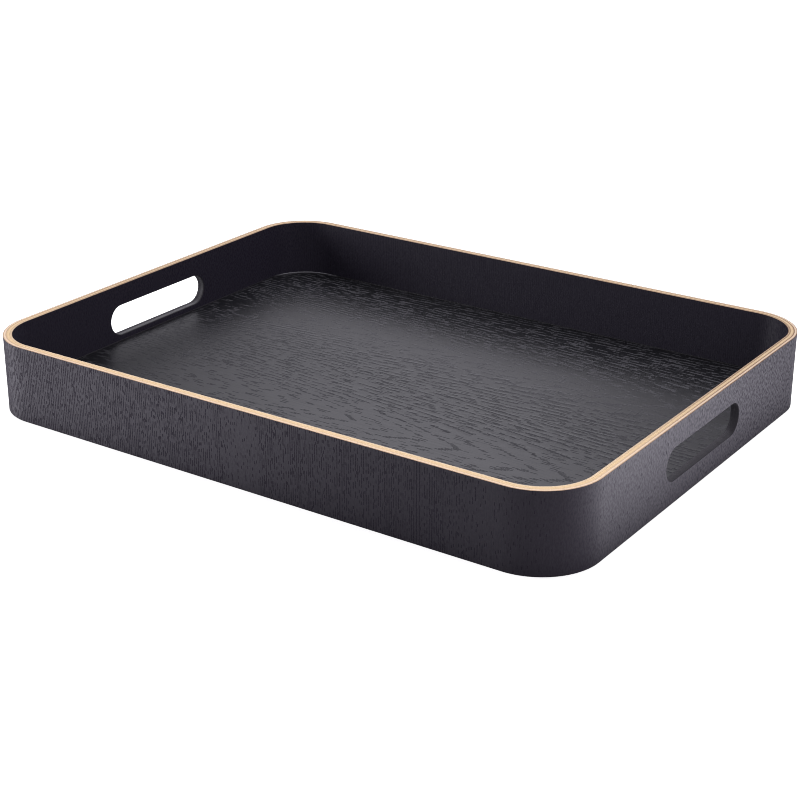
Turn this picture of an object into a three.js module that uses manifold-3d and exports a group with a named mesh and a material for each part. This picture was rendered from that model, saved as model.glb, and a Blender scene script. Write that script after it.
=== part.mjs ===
// Serving tray: a bent-laminated plywood wall with a hand slot through each end, and a veneered
// plywood base panel glued into a groove that runs round the inside of the wall.
// Millimetres, +Z up, X along the tray. The origin is the centre of the foot, on the table.
import * as THREE from "three";
import { mergeVertices } from "three/addons/utils/BufferGeometryUtils.js";
import Module from "manifold-3d";

// Outside of the tray
const trayLength = 450;
const trayWidth = 344;
const trayHeight = 53;
const cornerRadius = 40; // outside face, in plan

// Plies of the wall
const wallFaceVeneer = 0.6;
const wallCrossband = 1.1;
const wallCorePly = 1.1;
const glueLine = 0.08; // room for the glue between two plies
const buttGap = 0.2; // between the two ends of one bent strip
const seamStagger = 38; // from one ply's butt joint to the next one's
const footArris = 0.5; // the face veneers are sanded back this far above the table

// Base panel and the groove that holds it
const recessHeight = 6; // from the table to the lower edge of the groove
const panelFaceVeneer = 0.6;
const panelCrossband = 1.1;
const panelCore = 1.1;
const panelPlay = 0.3; // from the panel's edge to the bottom of the groove

// Hand slots, one through each end of the wall
const slotLength = 102;
const slotHeight = 22;
const slotCentreHeight = 26.5;
const cutOverrun = 5; // the cutter stands this far past the wall

// Facets of a quarter-round corner and of a slot's half-round end
const cornerFacets = 12;
const slotEndFacets = 16;

// Finishes
const blackStain = { color: 0x2b292d, roughness: 0.5, metalness: 0 };
const bareWood = { color: 0xdcb890, roughness: 0.65, metalness: 0 };

const wasm = await Module();
wasm.setup();

const panelPlies = [
  { name: "base_back_veneer", thickness: panelFaceVeneer, finish: blackStain },
  { name: "base_lower_crossband", thickness: panelCrossband, finish: bareWood },
  { name: "base_core", thickness: panelCore, finish: bareWood },
  { name: "base_upper_crossband", thickness: panelCrossband, finish: bareWood },
  { name: "base_face_veneer", thickness: panelFaceVeneer, finish: blackStain },
];

// The wall's plies from the outside in, three in each half.
const outerHalf = [
  { name: "outer_face_veneer", thickness: wallFaceVeneer, foot: footArris, finish: blackStain },
  { name: "outer_crossband", thickness: wallCrossband, foot: 0, finish: bareWood },
  { name: "outer_core_ply", thickness: wallCorePly, foot: 0, finish: bareWood },
];
const innerHalf = [
  { name: "inner_core_ply", thickness: wallCorePly, foot: 0, finish: bareWood },
  { name: "inner_crossband", thickness: wallCrossband, foot: 0, finish: bareWood },
  { name: "inner_face_veneer", thickness: wallFaceVeneer, foot: footArris, finish: blackStain },
];

// Thickness of a stack of plies with a glue line between each two.
function stackThickness(plies) {
  const wood = plies.reduce((sum, ply) => sum + ply.thickness, 0);
  return wood + glueLine * (plies.length - 1);
}

const outerHalfThickness = stackThickness(outerHalf);
const panelThickness = stackThickness(panelPlies);
const panelBottom = recessHeight + glueLine;
const grooveTop = panelBottom + panelThickness + glueLine;

// A closed geometry as a solid that can be cut.
function solidOf(geometry) {
  geometry.deleteAttribute("normal");
  geometry.deleteAttribute("uv");
  const merged = mergeVertices(geometry);
  return new wasm.Manifold(
    new wasm.Mesh({
      numProp: 3,
      vertProperties: merged.attributes.position.array,
      triVerts: new Uint32Array(merged.index.array),
    }),
  );
}

// A solid back as a geometry with flat-shaded facets.
function geometryOf(solid) {
  const mesh = solid.getMesh();
  const geometry = new THREE.BufferGeometry();
  geometry.setAttribute("position", new THREE.BufferAttribute(mesh.vertProperties, 3));
  geometry.setIndex(new THREE.BufferAttribute(mesh.triVerts, 1));
  const flat = geometry.toNonIndexed();
  flat.computeVertexNormals();
  return flat;
}

function namedMesh(name, geometry, finish) {
  const mesh = new THREE.Mesh(geometry, new THREE.MeshStandardMaterial(finish));
  mesh.name = name;
  return mesh;
}

// Adds the four round corners of the plan, drawn in from the outside face by inset. Lines join them.
// Anticlockwise the run goes from the back side round by the left end, and clockwise it returns.
function traceCorners(path, inset, clockwise) {
  const x = trayLength / 2 - cornerRadius;
  const y = trayWidth / 2 - cornerRadius;
  const quarter = Math.PI / 2;
  const corners = [
    { x: -x, y: y, from: quarter },
    { x: -x, y: -y, from: 2 * quarter },
    { x: x, y: -y, from: 3 * quarter },
    { x: x, y: y, from: 0 },
  ];
  const radius = cornerRadius - inset;
  for (const corner of clockwise ? corners.reverse() : corners) {
    const to = corner.from + quarter;
    if (clockwise) path.absarc(corner.x, corner.y, radius, to, corner.from, true);
    else path.absarc(corner.x, corner.y, radius, corner.from, to, false);
  }
}

function extrude(shape, depth, arcFacets) {
  const curveSegments = arcFacets / 2; // an arc is drawn with twice this many facets
  return new THREE.ExtrudeGeometry(shape, { depth, curveSegments, bevelEnabled: false });
}

// One strip bent round into the tray's plan, with its ends butted on a long side.
function bentStrip(inset, thickness, bottom, top, seam) {
  const outer = trayWidth / 2 - inset;
  const inner = outer - thickness;
  const left = seam.x - buttGap / 2;
  const right = seam.x + buttGap / 2;
  const outline = new THREE.Shape();
  outline.moveTo(left, inner);
  outline.lineTo(left, outer);
  traceCorners(outline, inset, false);
  outline.lineTo(right, outer);
  outline.lineTo(right, inner);
  traceCorners(outline, inset + thickness, true);
  const strip = extrude(outline, top - bottom, cornerFacets);
  if (seam.onFront) strip.rotateZ(Math.PI);
  return strip.translate(0, 0, bottom);
}

// A round-ended bar that reaches through both ends of the wall.
function slotCutter() {
  const radius = slotHeight / 2;
  const reach = slotLength / 2 - radius;
  const outline = new THREE.Shape();
  outline.absarc(reach, 0, radius, -Math.PI / 2, Math.PI / 2, false);
  outline.absarc(-reach, 0, radius, Math.PI / 2, (3 * Math.PI) / 2, false);
  const depth = trayLength + 2 * cutOverrun;
  const bar = extrude(outline, depth, slotEndFacets);
  bar.translate(0, 0, -depth / 2);
  const alongX = new THREE.Matrix4().makeBasis(
    new THREE.Vector3(0, 1, 0),
    new THREE.Vector3(0, 0, 1),
    new THREE.Vector3(1, 0, 0),
  );
  return solidOf(bar.applyMatrix4(alongX).translate(0, 0, slotCentreHeight));
}

function wallGroup() {
  const wall = new THREE.Group();
  const slots = slotCutter();
  const plies = [...outerHalf, ...innerHalf];
  let inset = 0;
  plies.forEach((ply, index) => {
    const seam = { x: (index - (plies.length - 1) / 2) * seamStagger, onFront: index % 2 === 1 };
    const slotted = (bottom) =>
      geometryOf(
        solidOf(bentStrip(inset, ply.thickness, bottom, trayHeight, seam)).subtract(slots),
      );
    if (outerHalf.includes(ply)) {
      wall.add(namedMesh(ply.name, slotted(ply.foot), ply.finish));
    } else {
      const lower = bentStrip(inset, ply.thickness, ply.foot, recessHeight, seam);
      wall.add(namedMesh(ply.name + "_upper", slotted(grooveTop), ply.finish));
      wall.add(namedMesh(ply.name + "_lower", lower, ply.finish));
    }
    inset += ply.thickness + glueLine;
  });
  return wall;
}

function panelGroup() {
  const panel = new THREE.Group();
  panel.position.z = panelBottom;
  const outline = new THREE.Shape();
  traceCorners(outline, outerHalfThickness + panelPlay, false);
  let height = 0;
  for (const ply of panelPlies) {
    const sheet = namedMesh(ply.name, extrude(outline, ply.thickness, cornerFacets), ply.finish);
    sheet.position.z = height;
    panel.add(sheet);
    height += ply.thickness + glueLine;
  }
  return panel;
}

const tray = new THREE.Group();
tray.name = "serving_tray";
tray.add(wallGroup(), panelGroup());

export default tray;
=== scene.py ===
import math
import bmesh
import bpy
from mathutils import Matrix, Vector


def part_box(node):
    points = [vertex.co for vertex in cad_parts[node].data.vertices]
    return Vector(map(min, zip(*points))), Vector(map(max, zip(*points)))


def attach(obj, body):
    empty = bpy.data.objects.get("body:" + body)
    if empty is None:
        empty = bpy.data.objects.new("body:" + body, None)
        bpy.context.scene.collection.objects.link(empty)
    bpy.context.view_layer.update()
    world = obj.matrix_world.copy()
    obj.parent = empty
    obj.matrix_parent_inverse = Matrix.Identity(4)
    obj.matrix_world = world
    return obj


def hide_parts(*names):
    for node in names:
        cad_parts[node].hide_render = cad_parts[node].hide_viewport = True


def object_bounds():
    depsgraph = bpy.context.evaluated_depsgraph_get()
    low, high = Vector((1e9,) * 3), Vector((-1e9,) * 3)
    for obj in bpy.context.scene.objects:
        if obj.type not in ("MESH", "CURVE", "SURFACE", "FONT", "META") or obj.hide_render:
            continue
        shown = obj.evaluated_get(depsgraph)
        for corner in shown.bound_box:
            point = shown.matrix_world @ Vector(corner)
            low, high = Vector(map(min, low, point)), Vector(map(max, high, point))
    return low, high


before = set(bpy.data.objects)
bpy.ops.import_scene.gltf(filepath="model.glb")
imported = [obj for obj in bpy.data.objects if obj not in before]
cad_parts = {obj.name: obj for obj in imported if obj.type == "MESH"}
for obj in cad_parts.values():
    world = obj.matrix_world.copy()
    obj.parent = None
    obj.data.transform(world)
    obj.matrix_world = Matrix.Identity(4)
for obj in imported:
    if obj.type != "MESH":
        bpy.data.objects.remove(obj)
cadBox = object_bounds()
print("frame loaded:", len(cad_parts), "nodes")

# Sizes of the tray, in metres, read off the frame
trayLength, trayWidth, trayTop = cadBox[1] - cadBox[0]
collection = bpy.context.scene.collection


# Node helpers, for geometry trees and shader trees alike

def feed(tree, node, inputs):
    for name, value in inputs.items():
        if isinstance(value, bpy.types.NodeSocket):
            tree.links.new(value, node.inputs[name])
        else:
            node.inputs[name].default_value = value


def put(tree, kind, inputs=None, **settings):
    node = tree.nodes.new(kind)
    for name, value in settings.items():
        setattr(node, name, value)
    feed(tree, node, inputs or {})
    return node


def maths(tree, operation, *values):
    return put(tree, "ShaderNodeMath", dict(enumerate(values)), operation=operation).outputs[0]


def product(tree, first, *others):
    for other in others:
        first = maths(tree, "MULTIPLY", first, other)
    return first


def scaled(tree, value, factor, offset):
    return maths(tree, "MULTIPLY_ADD", value, factor, offset)


def between(tree, factor, low, high):
    # From low to high as the factor goes from 0 to 1
    return scaled(tree, factor, high - low, low)


def distanceFrom(tree, value, middle):
    return maths(tree, "ABSOLUTE", maths(tree, "SUBTRACT", value, middle))


def smoothStep(tree, value, start, end, low=0.0, high=1.0):
    sockets = {"Value": value, "From Min": start, "From Max": end, "To Min": low, "To Max": high}
    return put(tree, "ShaderNodeMapRange", sockets, interpolation_type="SMOOTHSTEP").outputs["Result"]


def fadeOut(tree, value, start, end):
    return smoothStep(tree, value, start, end, 1.0, 0.0)


def noise(tree, vector, stretch, detail):
    # Stretch is in turns to one unit of the vector, along each axis.
    spread = put(tree, "ShaderNodeVectorMath", {0: vector, 1: stretch}, operation="MULTIPLY").outputs[0]
    sockets = {"Vector": spread, "Scale": 1.0, "Detail": detail}
    return put(tree, "ShaderNodeTexNoise", sockets).outputs["Fac"]


def chance(tree, number):
    # A random share of one for each whole number
    return put(tree, "ShaderNodeTexWhiteNoise", {"W": number}, noise_dimensions="1D").outputs["Value"]


def mixColour(tree, factor, first, second):
    return put(tree, "ShaderNodeMix", {0: factor, 6: first, 7: second}, data_type="RGBA").outputs[2]


def separated(tree, vector):
    return put(tree, "ShaderNodeSeparateXYZ", {0: vector}).outputs


def combined(tree, x, y, z=0.0):
    return put(tree, "ShaderNodeCombineXYZ", {"X": x, "Y": y, "Z": z}).outputs[0]


def painted(tree, name):
    # A measure that is stored on the mesh
    return put(tree, "ShaderNodeAttribute", attribute_name=name).outputs["Fac"]


def newGroup(name, kind, inputs, outputs):
    group = bpy.data.node_groups.new(name, kind)
    for label, socket in inputs:
        group.interface.new_socket(label, in_out="INPUT", socket_type="NodeSocket" + socket)
    for label, socket in outputs:
        group.interface.new_socket(label, in_out="OUTPUT", socket_type="NodeSocket" + socket)
    given = group.nodes.new("NodeGroupInput").outputs
    return group, given, group.nodes.new("NodeGroupOutput")


# Shader groups that several finishes share

ashPores = {
    "laneShift": 7.0,  # lanes start up to this many dashes apart
    "openSoftness": 0.05,
    "endsFrom": 0.42,  # from a dash's middle, as a share of its length
    "slopeFrom": 0.30,
    "fibreStretch": (0.12, 1.1, 1.0),  # turns to the dash and to the lane
    "fibreDetail": 3.0,
}


def makeAshGrain():
    # Grain runs along the vector's X. Pores are dashes that lie in lanes, and coverage is the share of
    # open ones. Pore is a dash's dull floor, Groove its depth, with sloping sides, and Centre its middle.
    inputs = [("Vector", "Vector"), ("Coverage", "Float"), ("Pore Length", "Float"),
              ("Pore Width", "Float"), ("Dull Width", "Float")]
    outputs = [("Pore", "Float"), ("Groove", "Float"), ("Fibre", "Float"), ("Centre", "Vector")]
    tree, given, result = newGroup("ashGrain", "ShaderNodeTree", inputs, outputs)
    split = separated(tree, given["Vector"])
    across = maths(tree, "DIVIDE", maths(tree, "ADD", split["Y"], split["Z"]), given["Pore Width"])
    along = maths(tree, "DIVIDE", split["X"], given["Pore Length"])
    lane = maths(tree, "FLOOR", across)
    laneStart = chance(tree, lane)
    inLane = scaled(tree, laneStart, ashPores["laneShift"], along)
    number = maths(tree, "FLOOR", inLane)
    dash = combined(tree, number, lane)
    luck = put(tree, "ShaderNodeTexWhiteNoise", {"Vector": dash}, noise_dimensions="2D").outputs["Value"]
    soft = ashPores["openSoftness"]
    isOpen = smoothStep(tree, maths(tree, "SUBTRACT", given["Coverage"], luck), -soft, soft)
    fromMiddle = distanceFrom(tree, maths(tree, "FRACT", inLane), 0.5)
    fromLane = distanceFrom(tree, maths(tree, "FRACT", across), 0.5)
    halfDull = product(tree, given["Dull Width"], 0.5)
    dull = fadeOut(tree, fromLane, halfDull, given["Dull Width"])
    ends = fadeOut(tree, fromMiddle, ashPores["endsFrom"], 0.5)
    pore = product(tree, ends, dull, isOpen)
    endSlopes = fadeOut(tree, fromMiddle, ashPores["slopeFrom"], 0.5)
    sideSlopes = fadeOut(tree, fromLane, 0.0, 0.5)
    groove = product(tree, endSlopes, sideSlopes, isOpen)
    middle = maths(tree, "ADD", number, 0.5)
    middle = scaled(tree, laneStart, -ashPores["laneShift"], middle)
    middle = product(tree, middle, given["Pore Length"])
    laneMiddle = product(tree, maths(tree, "ADD", lane, 0.5), given["Pore Width"])
    laneMiddle = maths(tree, "SUBTRACT", laneMiddle, split["Z"])
    centre = combined(tree, middle, laneMiddle, split["Z"])
    strand = combined(tree, along, across)
    fibre = noise(tree, strand, ashPores["fibreStretch"], ashPores["fibreDetail"])
    feed(tree, result, {"Pore": pore, "Groove": groove, "Fibre": fibre, "Centre": centre})
    return tree


crownCut = {
    "leafWidth": 0.139,  # two leaves side by side show the same figure
    "crownAxis": -0.066,  # middle of the front leaf
    "tipSpacing": 0.027,  # from one pointed arch to the next, along the tray
    "armSpread": 0.0105,
    "armBend": 1.35,
    "straightenAt": 0.030,  # past this the rings run along the tray
    "sideSlope": 0.30,
    "driftStretch": (9.0, 42.0, 1.0),
    "wander": 0.9,  # in rings
    "crownWander": 0.45,  # and in the middle of the arches
    "rowLength": 0.0050,  # size of a row of pores along the grain, where it crosses it
    "rowWidth": 0.0013,
    "widestRow": 0.6,  # share of a ring
    "rowEdge": (0.7, 1.3),  # a row thins out between these shares of its width
    "crownWidth": 0.028,  # late wood has few pores up to this far from the axis
    "faintest": 0.6,  # strength of the weakest ring
    "leafStep": 37.0,  # from the numbers of one leaf's rings to the next one's
    "patchStretch": (60.0, 170.0, 1.0),
    "patchRange": (0.36, 0.56),
    "patchLoss": 0.4,  # share of the pores that a ring loses in patches
}


def makeCrownFigure():
    # Growth rings of a leaf cut tangentially: nested arches that point along +X.
    cut = crownCut
    outputs = [("Rings", "Float"), ("Density", "Float"), ("Row", "Float"), ("Crown", "Float")]
    tree, given, result = newGroup("crownFigure", "ShaderNodeTree", [("Vector", "Vector")], outputs)
    split = separated(tree, given["Vector"])
    drift = noise(tree, given["Vector"], cut["driftStretch"], 2.0)
    leafEdge = cut["crownAxis"] - cut["leafWidth"] / 2
    leaf = maths(tree, "DIVIDE", maths(tree, "SUBTRACT", split["Y"], leafEdge), cut["leafWidth"])
    leafNumber = maths(tree, "FLOOR", leaf)
    fromAxis = distanceFrom(tree, maths(tree, "FRACT", leaf), 0.5)
    fromAxis = product(tree, fromAxis, cut["leafWidth"])
    spread = maths(tree, "DIVIDE", fromAxis, cut["armSpread"])
    arms = maths(tree, "POWER", spread, cut["armBend"])
    fade = maths(tree, "POWER", maths(tree, "DIVIDE", fromAxis, cut["straightenAt"]), 2.0)
    fade = maths(tree, "EXPONENT", product(tree, fade, -1.0))
    slope = between(tree, fade, cut["sideSlope"], 1.0)
    tips = product(tree, maths(tree, "DIVIDE", split["X"], cut["tipSpacing"]), slope)
    crown = fadeOut(tree, fromAxis, 0.0, cut["crownWidth"])
    wander = between(tree, crown, cut["wander"], cut["crownWander"])
    rings = scaled(tree, drift, wander, maths(tree, "ADD", tips, arms))
    # Rings to the metre across the grain and along it give each row the same real width.
    density = maths(tree, "POWER", spread, cut["armBend"] - 1.0)
    density = product(tree, density, cut["armBend"] / cut["armSpread"])
    across = product(tree, density, cut["rowWidth"])
    along = product(tree, slope, cut["rowLength"] / cut["tipSpacing"])
    share = scaled(tree, across, across, product(tree, along, along))
    share = maths(tree, "MINIMUM", maths(tree, "SQRT", share), cut["widestRow"])
    fromRow = scaled(tree, maths(tree, "FRACT", rings), 2.0, -1.0)
    fromRow = maths(tree, "DIVIDE", maths(tree, "ABSOLUTE", fromRow), share)
    row = fadeOut(tree, fromRow, *cut["rowEdge"])
    # Some rings are stronger than others, and a ring comes and goes along its run.
    ring = scaled(tree, leafNumber, cut["leafStep"], maths(tree, "FLOOR", rings))
    strength = between(tree, chance(tree, ring), cut["faintest"], 1.0)
    patch = noise(tree, given["Vector"], cut["patchStretch"], 1.0)
    patch = smoothStep(tree, patch, *cut["patchRange"], cut["patchLoss"], 0.0)
    patch = maths(tree, "SUBTRACT", 1.0, product(tree, patch, crown))
    row = product(tree, row, strength, patch)
    numbered = scaled(tree, leafNumber, cut["leafStep"], rings)
    feed(tree, result, {"Rings": numbered, "Density": density, "Row": row, "Crown": crown})
    return tree


ashGrain = makeAshGrain()
crownFigure = makeCrownFigure()


# Finishes

def newFinish(name):
    material = bpy.data.materials.new(name)
    material.use_nodes = True
    tree = material.node_tree
    shader = next(node for node in tree.nodes if node.type == "BSDF_PRINCIPLED")
    return material, tree, shader, put(tree, "ShaderNodeTexCoord").outputs["Object"]


def grainAt(tree, vector, coverage, look):
    sockets = {"Vector": vector, "Coverage": coverage, "Pore Length": look["poreLength"],
               "Pore Width": look["poreWidth"], "Dull Width": look["dullWidth"]}
    return put(tree, "ShaderNodeGroup", sockets, node_tree=ashGrain).outputs


def crownAt(tree, vector):
    return put(tree, "ShaderNodeGroup", {"Vector": vector}, node_tree=crownFigure).outputs


def bump(tree, height, distance, strength):
    sockets = {"Height": height, "Distance": distance, "Strength": strength}
    return put(tree, "ShaderNodeBump", sockets).outputs["Normal"]


def sandedSurface(tree, shader, colour, ash, look):
    rough = scaled(tree, ash[look["rougherWith"]], look["rougherBy"], look["roughness"])
    height = maths(tree, "SUBTRACT", ash["Fibre"], ash["Pore"])
    relief = bump(tree, height, look["reliefDepth"], look["reliefStrength"])
    feed(tree, shader, {"Base Color": colour, "Roughness": rough, "Normal": relief})


satinLacquer = {
    "roughness": 0.65,  # of the stained wood under it
    "poreRoughness": 0.25,  # and so much more in the pores
    "specular": 0.1,
    "filmIor": 1.5,
    "filmRange": (0.25, 0.65),  # over these tones of the fibres the film thickens
    "thinnestFilm": 0.85,
    "fibreRelief": 0.04,  # as a share of a pore's depth
}


def lacquer(tree, shader, pore, groove, fibre, look, poreColour, sheen=1.0):
    # Satin lacquer over the stain. It bridges the fibres and leaves the pores open.
    colour = mixColour(tree, fibre, look["stain"], look["stainPale"])
    rough = scaled(tree, pore, satinLacquer["poreRoughness"], satinLacquer["roughness"])
    film = smoothStep(tree, fibre, *satinLacquer["filmRange"], satinLacquer["thinnestFilm"], 1.0)
    film = product(tree, film, sheen, between(tree, pore, 1.0, look["lacquerInPores"]))
    fibres = product(tree, fibre, satinLacquer["fibreRelief"])
    height = scaled(tree, groove, -1.0, fibres)
    relief = bump(tree, height, look["poreDepth"], 1.0)
    feed(tree, shader, {
        "Base Color": mixColour(tree, pore, colour, poreColour),
        "Roughness": rough,
        "Specular IOR Level": satinLacquer["specular"],
        "Coat Weight": film,
        "Coat Roughness": look["lacquerRoughness"],
        "Coat IOR": satinLacquer["filmIor"],
        "Normal": relief,
        "Coat Normal": relief,
    })


blackBase = {
    "stain": (0.0055, 0.0055, 0.0070, 1),
    "stainPale": (0.0075, 0.0075, 0.0090, 1),
    "poreColour": (0.034, 0.0333, 0.038, 1),  # dull, where the lacquer leaves the pores open
    "backPoreGlintColour": (0.060, 0.0586, 0.0665, 1),  # painted glint: paler towards the back
    "glintFrom": (0.005, 0.080),
    "lacquerRoughness": 0.30,
    "lacquerInPores": 0.10,
    "poreLength": 0.0062,
    "poreWidth": 0.0011,
    "dullWidth": 0.46,
    "poreDepth": 0.00006,
    "rowCoverage": 0.42,  # share of open pores in a row, at the sides of a leaf
    "sideCoverage": 0.16,  # between the rows, at the sides of a leaf
    "crownRowCoverage": 0.95,  # and both in the middle of the arches
    "crownCoverage": 0.05,
    "lineCoverage": 0.60,  # share of open pores in the lines along the rings, at the sides
    "lineFade": (0.0, 0.4),  # the lines end between these two strengths of the crown
    "lineLength": 0.0044,
    "lineWidth": 0.0006,  # half of it
    "widestLine": 0.4,  # share of a ring
}


def makeBlackBase(look):
    material, tree, shader, place = newFinish("blackBaseVeneer")
    split = separated(tree, place)
    # A ring opens whole pores, so it is looked up at the middle of each.
    atPore = crownAt(tree, grainAt(tree, place, 0.0, look)["Centre"])
    inRow = between(tree, atPore["Crown"], look["rowCoverage"], look["crownRowCoverage"])
    ground = between(tree, atPore["Crown"], look["sideCoverage"], look["crownCoverage"])
    coverage = scaled(tree, atPore["Row"], maths(tree, "SUBTRACT", inRow, ground), ground)
    ash = grainAt(tree, place, coverage, look)
    # At the sides each ring is one line of long pores.
    figure = crownAt(tree, place)
    inRing = product(tree, figure["Density"], look["lineWidth"])
    inRing = maths(tree, "MINIMUM", inRing, look["widestLine"])
    lineLook = {"poreLength": look["lineLength"], "poreWidth": 1.0, "dullWidth": inRing}
    inLines = smoothStep(tree, figure["Crown"], *look["lineFade"], look["lineCoverage"], 0.0)
    lines = grainAt(tree, combined(tree, split["X"], figure["Rings"]), inLines, lineLook)
    pore = maths(tree, "MAXIMUM", ash["Pore"], lines["Pore"])
    groove = maths(tree, "MAXIMUM", ash["Groove"], lines["Groove"])
    # Painted glints: the pores are paler towards the back, where the base mirrors the dark back wall.
    towardsBack = smoothStep(tree, split["Y"], *look["glintFrom"])
    poreColour = mixColour(tree, towardsBack, look["poreColour"], look["backPoreGlintColour"])
    lacquer(tree, shader, pore, groove, ash["Fibre"], look, poreColour)
    return material


blackOutside = {
    "stain": (0.029, 0.0248, 0.0345, 1),
    "stainPale": (0.037, 0.0320, 0.0440, 1),
    "poreColour": (0.030, 0.0258, 0.0360, 1),
    "lacquerRoughness": 0.42,
    "lacquerInPores": 0.0,
    "poreLength": 0.0022,
    "poreWidth": 0.0008,
    "dullWidth": 0.46,
    "poreDepth": 0.00005,
    "ringSpacing": 0.0016,
    "wander": 2.5,  # in rings
    "driftStretch": (2.0, 60.0, 1.0),  # upright and around the wall, like every stretch here
    "rowShare": 0.5,  # of a ring
    "rowCoverage": 0.95,
    "groundCoverage": 0.13,
    "weakestLane": 0.8,
    "bandStretch": (1.0, 25.0, 1.0),
    "bandRange": (0.35, 0.6),
    "weakestBand": 0.9,
    "clusterStretch": (1.0, 90.0, 1.0),  # lines that stand together
    "clusterRange": (0.40, 0.60),
    "clusterFrom": (-0.50, -0.42),  # left of this the lines are even
    "clusterGround": 0.60,  # share of the pores between two clusters
    "plainStrips": [  # from, to, share of the pores that is missing
        (-0.393, -0.364, 0.70),
        (-0.225, -0.120, 0.80),
    ],
    "plainEdge": (0.6, 1.2),  # where a strip fades out, from its middle, in half widths
    "endFrom": (0.43, 0.49),  # the ends start here, in tray lengths
    "rightCoverage": 0.06,  # the right end has fewer open pores, by this factor
    "leftCoverage": 1.0,  # and the left end
    "streakStretch": (460.0, 1100.0, 1.0),  # uneven film
    "streakRange": (0.34, 0.62),
    "dullestFilm": 0.75,
    "endStreaks": (0.24, 0.62),  # so much duller on the ends, at the front and at the back
    "endStreaksTurn": (-0.10, 0.10),
    "leftCornerDimmedSheen": 0.3,  # painted shade: the sheen is dimmed on the front left corner, by this factor
    "cornerFrom": (0.43, 0.495),  # in tray lengths
    "cornerFront": (0.35, 0.40),  # in tray widths
    "rightCornerDimmedSheen": 0.55,  # and dimmed on the front right one, painted shade as well
    "rightCornerReach": (0.25, 0.65),  # from its middle, as shares of the bend
}

# The inside copy of the wall finish has a darker stain than the outside one: the black stain plus painted
# shade inside the tray.
blackInside = dict(
    blackOutside,
    stain=(0.0220, 0.0190, 0.0300, 1),
    stainPale=(0.031, 0.0268, 0.0420, 1),
    poreColour=(0.027, 0.0232, 0.0355, 1),
    lacquerInPores=0.5,
    leftCoverage=0.06,
    leftCornerDimmedSheen=1.0,
    rightCornerDimmedSheen=1.0,
    clusterGround=1.0,
)


def wallBands(tree, look, upright, around, onRight, onLeft):
    # Share of the pores that are open along the wall
    bands = noise(tree, upright, look["bandStretch"], 2.0)
    bands = smoothStep(tree, bands, *look["bandRange"], look["weakestBand"], 1.0)
    ground = smoothStep(tree, around, *look["clusterFrom"], 1.0, look["clusterGround"])
    clusters = noise(tree, upright, look["clusterStretch"], 1.0)
    bands = product(tree, bands, smoothStep(tree, clusters, *look["clusterRange"], ground, 1.0))
    for first, last, missing in look["plainStrips"]:
        fromMiddle = distanceFrom(tree, around, (first + last) / 2)
        near, far = [(last - first) / 2 * share for share in look["plainEdge"]]
        bands = product(tree, bands, smoothStep(tree, fromMiddle, near, far, 1.0 - missing, 1.0))
    for end, share in ((onRight, look["rightCoverage"]), (onLeft, look["leftCoverage"])):
        bands = product(tree, bands, between(tree, end, 1.0, share))
    return bands


def wallSheen(tree, look, upright, around, split, onEnd):
    # Strength of the film along the wall, dimmed on the two front corners as painted shade
    streaks = noise(tree, upright, look["streakStretch"], 1.0)
    duller = smoothStep(tree, split["Y"], *look["endStreaksTurn"], *look["endStreaks"])
    dullest = maths(tree, "SUBTRACT", look["dullestFilm"], product(tree, onEnd, duller))
    sheen = smoothStep(tree, streaks, *look["streakRange"], dullest, 1.0)
    # Painted shade: the sheen is dimmed on the front left corner and on the front right bend.
    near, far = [-share * trayWidth for share in look["cornerFront"]]
    atFront = fadeOut(tree, split["Y"], far, near)
    near, far = [-share * trayLength for share in look["cornerFrom"]]
    onCorner = product(tree, fadeOut(tree, split["X"], far, near), atFront)
    sheen = product(tree, sheen, between(tree, onCorner, 1.0, look["leftCornerDimmedSheen"]))
    bend = math.pi / 2 * wall["cornerRadius"]
    bendMiddle = trayWidth / 2 - wall["cornerRadius"] + bend / 2
    fromCorner = distanceFrom(tree, around, -bendMiddle)
    near, far = [bend * share for share in look["rightCornerReach"]]
    return product(tree, sheen, smoothStep(tree, fromCorner, near, far, look["rightCornerDimmedSheen"], 1.0))


def makeBlackWall(name, look):
    # The attribute aroundWall is the distance round the outside of the tray. Grain stands upright.
    material, tree, shader, place = newFinish(name)
    split = separated(tree, place)
    around = painted(tree, "aroundWall")
    upright = combined(tree, split["Z"], around)
    drift = noise(tree, upright, look["driftStretch"], 2.0)
    bent = scaled(tree, drift, look["wander"] * look["ringSpacing"], around)
    ring = maths(tree, "FRACT", maths(tree, "DIVIDE", bent, look["ringSpacing"]))
    inRow = maths(tree, "LESS_THAN", ring, look["rowShare"])
    coverage = between(tree, inRow, look["groundCoverage"], look["rowCoverage"])
    lane = maths(tree, "FLOOR", maths(tree, "DIVIDE", bent, look["poreWidth"]))
    strength = between(tree, chance(tree, maths(tree, "ADD", lane, 0.5)), look["weakestLane"], 1.0)
    near, far = [share * trayLength for share in look["endFrom"]]
    onRight = smoothStep(tree, split["X"], near, far)
    onLeft = fadeOut(tree, split["X"], -far, -near)
    bands = wallBands(tree, look, upright, around, onRight, onLeft)
    sheen = wallSheen(tree, look, upright, around, split, maths(tree, "ADD", onRight, onLeft))
    ash = grainAt(tree, combined(tree, split["Z"], bent), product(tree, coverage, strength, bands), look)
    lacquer(tree, shader, ash["Pore"], ash["Groove"], ash["Fibre"], look, look["poreColour"], sheen)
    return material


handSlot = {
    "length": 0.102,
    "height": 0.022,
    "centreHeight": 0.0265,
    "outerRound": 0.0004,  # rounding of the mouth on the outside face
    "innerRound": 0.0009,
    "endSteps": 24,
    "roundSteps": 5,
    "overrun": 0.002,  # the cutter stands this far past the wall
}

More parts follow.
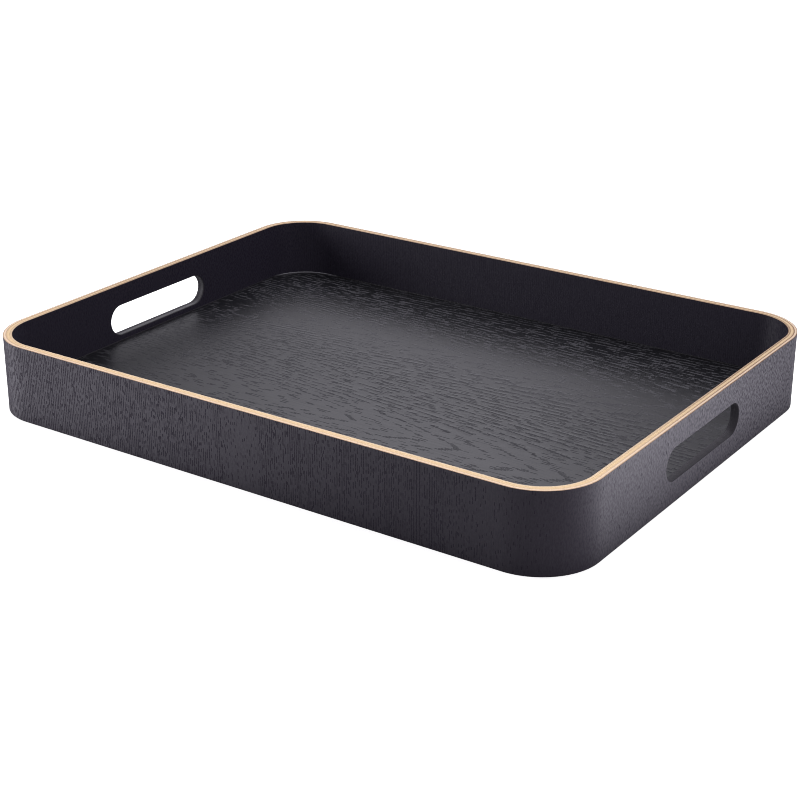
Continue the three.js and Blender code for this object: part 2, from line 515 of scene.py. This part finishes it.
blackEdge = {
    "stain": (0.026, 0.024, 0.029, 1),
    "stainPale": (0.042, 0.039, 0.046, 1),
    "lipHighlight": (0.118, 0.116, 0.124, 1),  # painted highlight on the inner half of the slots' edges
    "lipFrom": (0.0022, 0.0036),  # in from the outside face
    "lipTo": (0.0054, 0.0060),
    "lipEnds": (0.038, 0.048),  # it fades between these distances from the slot's middle
    "lipAtEnds": 0.4,
    "lipAbove": 0.01,  # no painted highlight on the foot
    "rightLipHighlight": 0.10,  # the painted highlight is weaker on the right slot, by this factor
    "rightFrom": (-0.1, 0.1),  # along the tray
    "roughness": 0.6,
    "rougherWith": "Pore",
    "rougherBy": 0.2,
    "specular": 0.3,
    "poreLength": 0.004,
    "poreWidth": 0.0004,
    "dullWidth": 0.4,
    "coverage": 0.35,
    "reliefDepth": 0.00006,
    "reliefStrength": 0.6,
}


def makeBlackEdge(look):
    # Sealed ply edge in the hand slots and on the foot, with a painted highlight on the slots' inner lips
    material, tree, shader, place = newFinish("blackSealedEdge")
    split = separated(tree, place)
    ash = grainAt(tree, place, look["coverage"], look)
    colour = mixColour(tree, ash["Fibre"], look["stain"], look["stainPale"])
    depth = painted(tree, "plyDepth")
    fromMiddle = maths(tree, "ABSOLUTE", split["Y"])
    # Painted highlight along the inner lip of each slot
    lipHighlight = product(
        tree,
        smoothStep(tree, depth, *look["lipFrom"]),
        fadeOut(tree, depth, *look["lipTo"]),
        smoothStep(tree, split["X"], *look["rightFrom"], 1.0, look["rightLipHighlight"]),
        smoothStep(tree, fromMiddle, *look["lipEnds"], 1.0, look["lipAtEnds"]),
        maths(tree, "GREATER_THAN", split["Z"], look["lipAbove"]),
    )
    sandedSurface(tree, shader, mixColour(tree, lipHighlight, colour, look["lipHighlight"]), ash, look)
    feed(tree, shader, {"Specular IOR Level": look["specular"]})
    return material


bareRim = {
    "outerPly": (0.83, 0.63, 0.450, 1),
    "corePly": (0.79, 0.575, 0.332, 1),
    "innerPly": (0.84, 0.66, 0.450, 1),
    "glue": (0.20, 0.085, 0.030, 1),
    "outerGlue": 0.0022,  # the strongest brown line lies this far in from the outside face
    "innerGlue": 0.0048,
    "glueWidth": 0.00035,
    "edgeWidth": 0.00042,  # the stain creeps this far over the arris
    "outerGlueStrength": (0.15, 0.90),  # at the front and at the back, and so are the rest
    "innerGlueStrength": (0.05, 0.85),
    "outerEdgeStrength": (0.60, 0.95),
    "innerEdgeStrength": (0.15, 0.95),
    "lineEdge": (0.5, 1.6),  # where a line fades out, from its middle, in widths
    "shade": 0.26,  # brown between the fibres
    "backTone": (0.775, 0.795, 0.84, 1),  # the wood is browner towards the back and left
    "backTurn": 0.4,  # how much the left counts beside the back
    "backFrom": (-0.48, 0.20),  # in tray widths
    "roughness": 0.4,
    "rougherWith": "Fibre",
    "rougherBy": 0.2,
    "poreLength": 0.0024,
    "poreWidth": 0.0006,
    "dullWidth": 0.4,
    "coverage": 0.3,
    "reliefDepth": 0.00004,
    "reliefStrength": 0.5,
}


def makeBareRim(look):
    # The attribute plyDepth is the distance in from the outside face.
    material, tree, shader, place = newFinish("bareSandedRim")
    split = separated(tree, place)
    depth = painted(tree, "plyDepth")
    ash = grainAt(tree, place, look["coverage"], look)
    leftOf = maths(tree, "MINIMUM", split["X"], 0.0)
    backLeft = scaled(tree, leftOf, -look["backTurn"], split["Y"])
    near, far = [share * trayWidth for share in look["backFrom"]]
    back = smoothStep(tree, backLeft, near, far)
    outerGlue, innerGlue = look["outerGlue"], look["innerGlue"]
    width, edge = look["glueWidth"], look["edgeWidth"]
    pastOuter = smoothStep(tree, depth, outerGlue - width, outerGlue + width)
    pastInner = smoothStep(tree, depth, innerGlue - width, innerGlue + width)
    colour = mixColour(tree, pastOuter, look["outerPly"], look["corePly"])
    colour = mixColour(tree, pastInner, colour, look["innerPly"])
    lines = [  # depth, width, strengths
        (outerGlue, width, look["outerGlueStrength"]),
        (innerGlue, width, look["innerGlueStrength"]),
        (0.0, edge, look["outerEdgeStrength"]),
        (wallThickness, edge, look["innerEdgeStrength"]),
    ]
    for lineDepth, lineWidth, strengths in lines:
        near, far = [lineWidth * share for share in look["lineEdge"]]
        line = fadeOut(tree, distanceFrom(tree, depth, lineDepth), near, far)
        line = product(tree, line, between(tree, back, *strengths))
        colour = mixColour(tree, line, colour, look["glue"])
    shade = product(tree, maths(tree, "SUBTRACT", 1.0, ash["Fibre"]), look["shade"])
    colour = mixColour(tree, shade, colour, look["glue"])
    toned = {0: back, 6: colour, 7: look["backTone"]}
    toned = put(tree, "ShaderNodeMix", toned, data_type="RGBA", blend_type="MULTIPLY").outputs[2]
    sandedSurface(tree, shader, toned, ash, look)
    return material


barePly = {
    "dark": (0.50, 0.30, 0.16, 1),
    "light": (0.72, 0.50, 0.30, 1),
    "poreColour": (0.30, 0.17, 0.09, 1),
    "slotSeal": (0.002, 0.003),  # the stain reaches this far past the slot's edge
    "footSeal": (0.0010, 0.0016),  # and this far up from the foot
    "roughness": 0.55,
    "rougherWith": "Fibre",
    "rougherBy": 0.2,
    "poreLength": 0.012,
    "poreWidth": 0.0009,
    "dullWidth": 0.4,
    "coverage": 0.4,
    "reliefDepth": 0.00006,
    "reliefStrength": 0.5,
}


def makeBarePly(look):
    # Glue faces and groove, out of sight. The foot of the wall and the slots' edges are sealed black.
    material, tree, shader, place = newFinish("barePly")
    split = separated(tree, place)
    ash = grainAt(tree, place, look["coverage"], look)
    colour = mixColour(tree, ash["Fibre"], look["dark"], look["light"])
    colour = mixColour(tree, ash["Pore"], colour, look["poreColour"])
    radius = handSlot["height"] / 2
    fromMiddle = maths(tree, "ABSOLUTE", split["Y"])
    pastStraight = maths(tree, "SUBTRACT", fromMiddle, handSlot["length"] / 2 - radius)
    pastStraight = maths(tree, "POWER", maths(tree, "MAXIMUM", pastStraight, 0.0), 2.0)
    above = maths(tree, "SUBTRACT", split["Z"], handSlot["centreHeight"])
    fromSlot = maths(tree, "SQRT", scaled(tree, above, above, pastStraight))
    near, far = [radius + reach for reach in look["slotSeal"]]
    slotSeal = fadeOut(tree, fromSlot, near, far)
    footSeal = fadeOut(tree, split["Z"], *look["footSeal"])
    colour = mixColour(tree, maths(tree, "MAXIMUM", slotSeal, footSeal), colour, blackEdge["stain"])
    sandedSurface(tree, shader, colour, ash, look)
    return material


# The wall: six plies bent round the plan, with a hand slot cut through each end

wall = {
    "cornerRadius": 0.040,
    "glueLine": 0.00008,
    "buttGap": 0.0002,
    "seamStagger": 0.038,
    "cornerSteps": 24,
    "straightStep": 0.010,
    "outerRimArris": 0.00025,
    "innerRimArris": 0.00015,
    "footArris": 0.0004,
    "footGap": 0.0001,  # the face veneers' rounded feet end this far above the table
    "arrisSteps": 4.0,
    "rimReach": 0.0001,  # strips that come this near the rim or the foot have rounded edges there
    "footReach": 0.001,
    "sharpAngle": 35,  # degrees
}

wallPlies = [  # finish of the face, then the strips at one depth
    ("outside", ["outer_face_veneer"]),
    ("ply", ["outer_crossband"]),
    ("ply", ["outer_core_ply"]),
    ("ply", ["inner_core_ply_upper", "inner_core_ply_lower"]),
    ("ply", ["inner_crossband_upper", "inner_crossband_lower"]),
    ("inside", ["inner_face_veneer_upper", "inner_face_veneer_lower"]),
]


def insetOf(node):
    lowest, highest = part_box(node)
    return (trayLength - (highest.x - lowest.x)) / 2


plyInsets = [insetOf(names[0]) for finish, names in wallPlies]
plyThicknesses = [after - before - wall["glueLine"] for before, after in zip(plyInsets, plyInsets[1:])]
plyThicknesses.append(plyThicknesses[0])
wallThickness = plyInsets[-1] + plyThicknesses[-1]

# The finishes need the wall's measures, so they are mixed here.
finishes = {
    "base": makeBlackBase(blackBase),
    "outside": makeBlackWall("blackOutsideVeneer", blackOutside),
    "inside": makeBlackWall("blackInsideVeneer", blackInside),
    "edge": makeBlackEdge(blackEdge),
    "rim": makeBareRim(bareRim),
    "ply": makeBarePly(barePly),
}
print("finishes made:", len(finishes))


def subdivided(start, end, step):
    count = max(1, math.ceil((end - start).length / step))
    return [start.lerp(end, i / count) for i in range(count)]


def planOutline(inset, seamX=None):
    # Anticlockwise from the back side. With a seam the run is open, with its two ends at the butt joint.
    centreX = trayLength / 2 - wall["cornerRadius"]
    centreY = trayWidth / 2 - wall["cornerRadius"]
    radius = wall["cornerRadius"] - inset
    steps = wall["cornerSteps"]
    corners = [(-centreX, centreY, 90), (-centreX, -centreY, 180),
               (centreX, -centreY, 270), (centreX, centreY, 0)]
    arcs = []
    for x, y, first in corners:
        turns = [math.radians(first + 90 * i / steps) for i in range(steps + 1)]
        arcs.append([Vector((x + radius * math.cos(t), y + radius * math.sin(t), 0)) for t in turns])
    back = trayWidth / 2 - inset
    points = []
    start = arcs[-1][-1] if seamX is None else Vector((seamX - wall["buttGap"] / 2, back, 0))
    for arc in arcs:
        points += subdivided(start, arc[0], wall["straightStep"]) + arc[:-1]
        start = arc[-1]
    if seamX is not None:
        end = Vector((seamX + wall["buttGap"] / 2, back, 0))
        points += subdivided(start, end, wall["straightStep"]) + [end]
    return points


def linked(name, data):
    piece = bpy.data.objects.new(name, data)
    collection.objects.link(piece)
    return piece


def pathObject(name, points, closed):
    curve = bpy.data.curves.new(name, "CURVE")
    curve.dimensions = "3D"
    spline = curve.splines.new("POLY")
    spline.points.add(len(points) - 1)
    for point, place in zip(spline.points, points):
        point.co = (*place, 1)
    spline.use_cyclic_u = closed
    return linked(name, curve)


def meshObject(name, mesh):
    data = bpy.data.meshes.new(name)
    mesh.to_mesh(data)
    mesh.free()
    return linked(name, data)


def joinRings(mesh, before, after):
    for i in range(len(before)):
        j = (i + 1) % len(before)
        mesh.faces.new((before[i], before[j], after[j], after[i]))


def slotStations():
    # Distance from the tray's middle and growth of the slot, from outside in
    face = trayLength / 2
    steps = handSlot["roundSteps"]
    turns = [math.radians(90 * i / steps) for i in range(steps + 1)]
    outer, inner = handSlot["outerRound"], handSlot["innerRound"]
    inside = face - wallThickness
    stations = [(face + handSlot["overrun"], outer)]
    for turn in turns:
        stations.append((face - outer * (1 - math.cos(turn)), outer * (1 - math.sin(turn))))
    for turn in reversed(turns):
        stations.append((inside + inner * (1 - math.cos(turn)), inner * (1 - math.sin(turn))))
    stations.append((inside - handSlot["overrun"], inner))
    return stations


def slotCutter():
    # Round-ended bars through both ends, flared where the slot's mouths are rounded over
    radius = handSlot["height"] / 2
    reach = handSlot["length"] / 2 - radius
    steps = handSlot["endSteps"]
    mesh = bmesh.new()
    for side in (1, -1):
        rings = []
        for x, grow in slotStations():
            ring = []
            for endSide, first in ((1, -90), (-1, 90)):
                for i in range(steps + 1):
                    turn = math.radians(first + 180 * i / steps)
                    y = endSide * reach + (radius + grow) * math.cos(turn)
                    z = handSlot["centreHeight"] + (radius + grow) * math.sin(turn)
                    ring.append(mesh.verts.new((side * x, y, z)))
            rings.append(ring)
        for before, after in zip(rings, rings[1:]):
            joinRings(mesh, before, after)
        mesh.faces.new(rings[0])
        mesh.faces.new(rings[-1])
    bmesh.ops.recalc_face_normals(mesh, faces=mesh.faces)
    return meshObject("slotCutter", mesh)


def makeBentStripTree():
    inputs = [
        ("Path", "Object"), ("Slot Cutter", "Object"), ("Inset", "Float"), ("Thickness", "Float"),
        ("Bottom", "Float"), ("Top", "Float"), ("Eased Side", "Float"), ("Rim Arris", "Float"),
        ("Foot Arris", "Float"), ("Finish", "Material"),
    ]
    tree, given, result = newGroup("bentStrip", "GeometryNodeTree", inputs, [("Mesh", "Geometry")])
    path = put(tree, "GeometryNodeObjectInfo", {"Object": given["Path"]}).outputs["Geometry"]
    path = put(tree, "GeometryNodeSetCurveNormal", {"Curve": path}, mode="Z_UP").outputs["Curve"]
    # The profile's X points out of the tray and its Y points down.
    tall = maths(tree, "SUBTRACT", given["Top"], given["Bottom"])
    sides = {"Width": given["Thickness"], "Height": tall}
    profile = put(tree, "GeometryNodeCurvePrimitiveQuadrilateral", sides).outputs["Curve"]
    corner = separated(tree, put(tree, "GeometryNodeInputPosition").outputs[0])
    easedSide = maths(tree, "GREATER_THAN", product(tree, corner["X"], given["Eased Side"]), 0.0)
    atFoot = maths(tree, "GREATER_THAN", corner["Y"], 0.0)
    foot = product(tree, atFoot, given["Foot Arris"])
    arris = scaled(tree, maths(tree, "SUBTRACT", 1.0, atFoot), given["Rim Arris"], foot)
    arris = product(tree, arris, easedSide)
    steps = product(tree, maths(tree, "GREATER_THAN", arris, 0.0), wall["arrisSteps"])
    rounded = {"Curve": profile, "Radius": arris, "Count": steps}
    profile = put(tree, "GeometryNodeFilletCurve", rounded, mode="POLY").outputs["Curve"]
    middle = product(tree, maths(tree, "ADD", given["Top"], given["Bottom"]), -0.5)
    inset = product(tree, given["Inset"], -1.0)
    inward = scaled(tree, given["Thickness"], -0.5, inset)
    shifted = {"Geometry": profile, "Translation": combined(tree, inward, middle)}
    profile = put(tree, "GeometryNodeTransform", shifted).outputs["Geometry"]
    swept = {"Curve": path, "Profile Curve": profile, "Fill Caps": True}
    strip = put(tree, "GeometryNodeCurveToMesh", swept).outputs["Mesh"]
    cutter = put(tree, "GeometryNodeObjectInfo", {"Object": given["Slot Cutter"]}).outputs["Geometry"]
    cut = put(tree, "GeometryNodeMeshBoolean", {"Mesh 1": strip}, operation="DIFFERENCE", solver="EXACT")
    tree.links.new(cutter, cut.inputs["Mesh 2"])
    whole = put(tree, "GeometryNodeRealizeInstances", {"Geometry": cut.outputs["Mesh"]})
    dressed = {"Geometry": whole.outputs["Geometry"], "Material": given["Finish"]}
    dressed = put(tree, "GeometryNodeSetMaterial", dressed)
    feed(tree, result, {"Mesh": dressed.outputs["Geometry"]})
    return tree


def evaluatedMesh(piece):
    graph = bpy.context.evaluated_depsgraph_get()
    finished = piece.evaluated_get(graph)
    mesh = bpy.data.meshes.new_from_object(finished, preserve_all_data_layers=True, depsgraph=graph)
    piece.modifiers.clear()
    piece.data = mesh


def nodesPiece(name, tree, values):
    piece = linked(name, bpy.data.meshes.new(name))
    modifier = piece.modifiers.new(tree.name, "NODES")
    modifier.node_group = tree
    for item in tree.interface.items_tree:
        if item.in_out == "INPUT" and item.name in values:
            modifier[item.identifier] = values[item.name]
    evaluatedMesh(piece)
    return piece


def plyDepthAt(place):
    # Distance in from the outside face
    x = abs(place.x) - (trayLength / 2 - wall["cornerRadius"])
    y = abs(place.y) - (trayWidth / 2 - wall["cornerRadius"])
    if x > 0 and y > 0:
        return wall["cornerRadius"] - math.hypot(x, y)
    return wall["cornerRadius"] - max(x, y)


def aroundWallAt(place):
    # Distance round the outside face from the middle of the right end, negative towards the front
    straightX = trayLength / 2 - wall["cornerRadius"]
    straightY = trayWidth / 2 - wall["cornerRadius"]
    quarter = wall["cornerRadius"] * math.pi / 2
    x, y = abs(place.x), abs(place.y)
    if x > straightX and y > straightY:
        length = straightY + wall["cornerRadius"] * math.atan2(y - straightY, x - straightX)
    elif x > straightX:
        length = y
    else:
        length = straightY + quarter + straightX - x
    if place.x < 0:
        length = 2 * (straightY + quarter + straightX) - length
    return math.copysign(length, place.y)


def smoothByAngle(piece):
    mesh = piece.data
    mesh.shade_smooth()
    mesh.set_sharp_from_angle(angle=math.radians(wall["sharpAngle"]))
    piece.modifiers.new("evenNormals", "WEIGHTED_NORMAL").keep_sharp = True
    evaluatedMesh(piece)


def dressPiece(piece, slot, *nodes):
    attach(piece, "root")
    if nodes:
        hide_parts(*nodes)


stripAreas = {  # which faces of a strip are edges
    "facing": 0.2,  # how far a face has to look up or down
    "edgeBand": 0.002,  # this near the rim or the foot
    "endBand": 0.01,  # this near the ends
    "slotTurn": 0.97,  # a face of the wall's end looks along the tray more than this
}
slotReachY = handSlot["length"] / 2 + handSlot["innerRound"]
slotReachZ = handSlot["height"] / 2 + handSlot["innerRound"]


def paintStrip(mesh, faceFinish):
    mesh.materials.clear()
    for finish in (faceFinish, finishes["edge"], finishes["rim"]):
        mesh.materials.append(finish)
    onFace, onEdge, onRim = range(3)
    for polygon in mesh.polygons:
        place, normal = polygon.center, polygon.normal
        inSlot = abs(place.y) < slotReachY and abs(place.z - handSlot["centreHeight"]) < slotReachZ
        atEnd = abs(place.x) > trayLength / 2 - stripAreas["endBand"]
        if normal.z > stripAreas["facing"] and place.z > trayTop - stripAreas["edgeBand"]:
            polygon.material_index = onRim
        elif inSlot and atEnd and abs(normal.x) < stripAreas["slotTurn"]:
            polygon.material_index = onEdge
        elif normal.z < -stripAreas["facing"] and place.z < stripAreas["edgeBand"]:
            polygon.material_index = onEdge
        else:
            polygon.material_index = onFace
    for name, measure in (("plyDepth", plyDepthAt), ("aroundWall", aroundWallAt)):
        values = [measure(vertex.co) for vertex in mesh.vertices]
        mesh.attributes.new(name, "FLOAT", "POINT").data.foreach_set("value", values)


bentStrip = makeBentStripTree()
cutter = slotCutter()

for index, (finish, names) in enumerate(wallPlies):
    seamX = (index - (len(wallPlies) - 1) / 2) * wall["seamStagger"]
    points = planOutline(0.0, seamX)
    if index % 2:
        points = [Vector((-point.x, -point.y, 0)) for point in points]
    path = pathObject(names[0] + "_path", points, False)
    isFace = finish != "ply"
    rimArris = wall["outerRimArris" if finish == "outside" else "innerRimArris"]
    for name in names:
        lowest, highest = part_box(name)
        onRim = isFace and highest.z > trayTop - wall["rimReach"]
        onFoot = isFace and lowest.z < wall["footReach"]
        strip = nodesPiece(name + "_bent", bentStrip, {
            "Path": path,
            "Slot Cutter": cutter,
            "Inset": plyInsets[index],
            "Thickness": plyThicknesses[index],
            "Bottom": wall["footGap"] if onFoot else lowest.z,
            "Top": highest.z,
            "Eased Side": 1.0 if finish == "outside" else -1.0,
            "Rim Arris": rimArris if onRim else 0.0,
            "Foot Arris": wall["footArris"] if onFoot else 0.0,
            "Finish": finishes[finish],
        })
        paintStrip(strip.data, finishes[finish])
        smoothByAngle(strip)
        dressPiece(strip, "black_veneer" if isFace else "bare_ply", name)
    bpy.data.objects.remove(path)
bpy.data.objects.remove(cutter)
print("wall bent and slotted:", sum(len(names) for finish, names in wallPlies), "strips")


# The base panel: five sheets let into the groove

basePlies = {
    "base_back_veneer": "base",
    "base_lower_crossband": "ply",
    "base_core": "ply",
    "base_upper_crossband": "ply",
    "base_face_veneer": "base",
}


def panelSheet(node):
    lowest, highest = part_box(node)
    outline = planOutline(insetOf(node))
    mesh = bmesh.new()
    below, above = [[mesh.verts.new((p.x, p.y, z)) for p in outline] for z in (lowest.z, highest.z)]
    mesh.faces.new(below[::-1])
    mesh.faces.new(above)
    joinRings(mesh, below, above)
    return meshObject(node + "_sheet", mesh)


for node, finish in basePlies.items():
    sheet = panelSheet(node)
    sheet.data.materials.append(finishes[finish])
    smoothByAngle(sheet)
    dressPiece(sheet, "bare_ply" if finish == "ply" else "black_veneer", node)
print("base panel laid:", len(basePlies), "sheets")


# A bead of lacquer in the corner between the base and the wall

lacquerBead = {
    "width": 0.0005,
    "height": 0.0006,
    "rounding": 0.95,  # share of the width
    "colour": (0.012, 0.011, 0.014, 1),
    "paintedHighlightColour": (0.24, 0.235, 0.255, 1),  # painted highlight, where the bead catches the light
    "highlightSpot": (-0.203, 0.160, 0.011),  # in the back left corner
    "highlightReach": (0.015, 0.030),  # it fades out between these two
    "roughness": 0.28,
    "poreRoughness": 0.1,
    "poreLength": 0.004,
    "poreWidth": 0.002,
    "dullWidth": 0.4,
    "coverage": 0.3,
}


def makeBlackBead(look):
    material, tree, shader, place = newFinish("blackLacquerBead")
    ash = grainAt(tree, place, look["coverage"], look)
    colour = mixColour(tree, ash["Fibre"], blackEdge["stain"], look["colour"])
    # Painted highlight: the bead is painted pale around one spot in the back left corner.
    ends = {0: place, 1: look["highlightSpot"]}
    away = put(tree, "ShaderNodeVectorMath", ends, operation="DISTANCE").outputs["Value"]
    highlighted = fadeOut(tree, away, *look["highlightReach"])
    colour = mixColour(tree, highlighted, colour, look["paintedHighlightColour"])
    rough = scaled(tree, ash["Pore"], look["poreRoughness"], look["roughness"])
    feed(tree, shader, {"Base Color": colour, "Roughness": rough})
    return material


beadPath = pathObject("beadPath", planOutline(0.0), True)
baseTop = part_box("base_face_veneer")[1].z
bead = nodesPiece("lacquer_bead", bentStrip, {
    "Path": beadPath,
    "Inset": wallThickness,
    "Thickness": lacquerBead["width"],
    "Bottom": baseTop,
    "Top": baseTop + lacquerBead["height"],
    "Eased Side": -1.0,
    "Rim Arris": lacquerBead["width"] * lacquerBead["rounding"],
    "Finish": makeBlackBead(lacquerBead),
})
smoothByAngle(bead)
dressPiece(bead, "black_veneer")
bpy.data.objects.remove(beadPath)
print("lacquer bead run round the base")


# Floor, lights and camera

camera = {
    "azimuth": 34.445,  # degrees from the front towards the right end
    "elevation": 22.541,
    "roll": 0.068,
    "distance": 2.6684,  # in tray lengths
    "target": (-0.0047, 0.0033, 0.0),  # in tray lengths
    "focal": 78.59,  # millimetres
    "sensor": 36.0,
}

studio = {
    "floorSize": 24.0,
    "floorDrop": 0.0001,
    "floorColour": (0.62, 0.62, 0.62, 1),
    "floorRoughness": 0.9,
    "floorSpecular": 0.1,
    "shadowLift": 0.8,  # keeps the shadow on the floor pale
    "white": (1, 1, 1, 1),  # glow of the floor and the room, as the camera sees them
    "glowColour": (0.985, 0.955, 1.055, 1),  # and of the floor, as the lacquer mirrors it
    "mirroredFloor": (0.18, 0.177, 0.195, 1),  # the floor mirrored, away from its two glows
    "evenGlow": 0.08,
    "rightGlow": 2.95,  # brighter floor past the right end, as the lacquer mirrors it
    "rightFrom": (-0.03, 0.14),  # past the end
    "rightFront": (-0.02, 0.10),  # back from the front side
    "rightBack": (0.10, 0.30),  # here it fades
    "rightBackShare": 0.45,  # to this share
    "leftGlow": 1.20,  # brighter floor in front of the left half
    "leftFrom": (-0.26, 0.12),  # along the tray
    "leftFront": (-0.02, 0.02),  # back from the front side
    "roomColour": (0.27, 0.264, 0.287, 1),
    "panelColour": (4.5, 4.40, 4.82, 1),  # tall bright panel straight across from the camera
    "panelTurn": 0.5,  # degrees to the right of straight across
    "panelHalfWidth": 7.1,  # degrees, and so are the rest
    "panelSoftness": 1.5,
    "panelFoot": (15.7, 45.7),  # it brightens from the first elevation to the second
    "panelHead": (60.0, 76.0),  # and fades out between these two
}


def makeFloor():
    mesh = bmesh.new()
    bmesh.ops.create_grid(mesh, x_segments=8, y_segments=8, size=studio["floorSize"] / 2)
    floor = meshObject("studioFloor", mesh)
    floor.location.z = -studio["floorDrop"]
    material, tree, shader, place = newFinish("paleFloor")
    split = separated(tree, place)
    rightFrom = [trayLength / 2 + past for past in studio["rightFrom"]]
    rightFront = [past - trayWidth / 2 for past in studio["rightFront"]]
    leftFront = [past - trayWidth / 2 for past in studio["leftFront"]]
    right = product(
        tree,
        smoothStep(tree, split["X"], *rightFrom, 0.0, studio["rightGlow"]),
        smoothStep(tree, split["Y"], *rightFront),
        smoothStep(tree, split["Y"], *studio["rightBack"], 1.0, studio["rightBackShare"]),
    )
    left = product(
        tree,
        smoothStep(tree, split["X"], *studio["leftFrom"], studio["leftGlow"], 0.0),
        fadeOut(tree, split["Y"], *leftFront),
    )
    path = put(tree, "ShaderNodeLightPath").outputs
    mirrored = path["Is Glossy Ray"]
    glow = maths(tree, "ADD", maths(tree, "ADD", right, left), studio["evenGlow"])
    glow = product(tree, mirrored, glow)
    feed(tree, shader, {
        "Base Color": mixColour(tree, mirrored, studio["floorColour"], studio["mirroredFloor"]),
        "Roughness": studio["floorRoughness"],
        "Specular IOR Level": studio["floorSpecular"],
        "Emission Color": mixColour(tree, mirrored, studio["white"], studio["glowColour"]),
        "Emission Strength": scaled(tree, path["Is Camera Ray"], studio["shadowLift"], glow),
    })
    floor.data.materials.append(material)


softboxes = {
    "topBox": {
        "place": (-0.2, 0.7, 2.0), "size": 1.4, "power": 46, "colour": (1, 1, 1), "mirrored": False,
    },
    "frontLeftBox": {
        "place": (-1.1, -0.5, 0.3), "size": 0.6, "power": 7, "colour": (0.97, 0.95, 1), "mirrored": True,
    },
    "rightBox": {
        "place": (1.2, -0.2, 0.5), "size": 0.8, "power": 4, "colour": (0.97, 0.95, 1), "mirrored": False,
    },
}
softboxAim = Vector((0, 0, 0.02))


def makeRoom():
    world = bpy.data.worlds.new("whiteRoom")
    bpy.context.scene.world = world
    world.use_nodes = True
    tree = world.node_tree
    background = next(node for node in tree.nodes if node.type == "BACKGROUND")
    look = put(tree, "ShaderNodeTexCoord").outputs["Generated"]
    turn = math.radians(camera["azimuth"] - studio["panelTurn"])
    ways = Vector((-math.sin(turn), math.cos(turn), 0)), Vector((math.cos(turn), math.sin(turn), 0))
    ahead, aside = [
        put(tree, "ShaderNodeVectorMath", {0: look, 1: way}, operation="DOT_PRODUCT").outputs["Value"]
        for way in ways]
    offAxis = maths(tree, "DEGREES", maths(tree, "ABSOLUTE", maths(tree, "ARCTAN2", aside, ahead)))
    height = maths(tree, "DEGREES", maths(tree, "ARCSINE", separated(tree, look)["Z"]))
    half, soft = studio["panelHalfWidth"], studio["panelSoftness"]
    panel = product(
        tree,
        fadeOut(tree, offAxis, half - soft, half + soft),
        smoothStep(tree, height, *studio["panelFoot"]),
        fadeOut(tree, height, *studio["panelHead"]),
    )
    colour = mixColour(tree, panel, studio["roomColour"], studio["panelColour"])
    seen = put(tree, "ShaderNodeLightPath").outputs["Is Camera Ray"]
    feed(tree, background, {"Color": mixColour(tree, seen, colour, studio["white"])})


def makeLights():
    for name, box in softboxes.items():
        light = bpy.data.lights.new(name, "AREA")
        light.shape = "SQUARE"
        light.size = box["size"]
        light.energy = box["power"]
        light.color = box["colour"]
        lamp = linked(name, light)
        lamp.location = box["place"]
        lamp.visible_glossy = box["mirrored"]
        lamp.rotation_euler = (softboxAim - lamp.location).to_track_quat("-Z", "Y").to_euler()


def makeCamera():
    turn = math.radians(camera["azimuth"])
    rise = math.radians(camera["elevation"])
    tilt = math.radians(camera["roll"])
    back = Vector((math.sin(turn) * math.cos(rise), -math.cos(turn) * math.cos(rise), math.sin(rise)))
    level = Vector((math.cos(turn), math.sin(turn), 0))
    upright = back.cross(level)
    right = level * math.cos(tilt) + upright * math.sin(tilt)
    up = upright * math.cos(tilt) - level * math.sin(tilt)
    data = bpy.data.cameras.new("photoCamera")
    data.lens = camera["focal"]
    data.sensor_width = camera["sensor"]
    eye = Vector(camera["target"]) * trayLength + back * camera["distance"] * trayLength
    lens = linked("photoCamera", data)
    lens.matrix_world = Matrix((
        (right.x, up.x, back.x, eye.x),
        (right.y, up.y, back.y, eye.y),
        (right.z, up.z, back.z, eye.z),
        (0, 0, 0, 1),
    ))
    bpy.context.scene.camera = lens


makeFloor()
makeRoom()
makeLights()
makeCamera()
bpy.context.scene.view_settings.view_transform = "Standard"
bpy.context.scene.cycles.filter_width = 1.0  # crisp fine grain
print("studio ready:", len(softboxes), "softboxes")
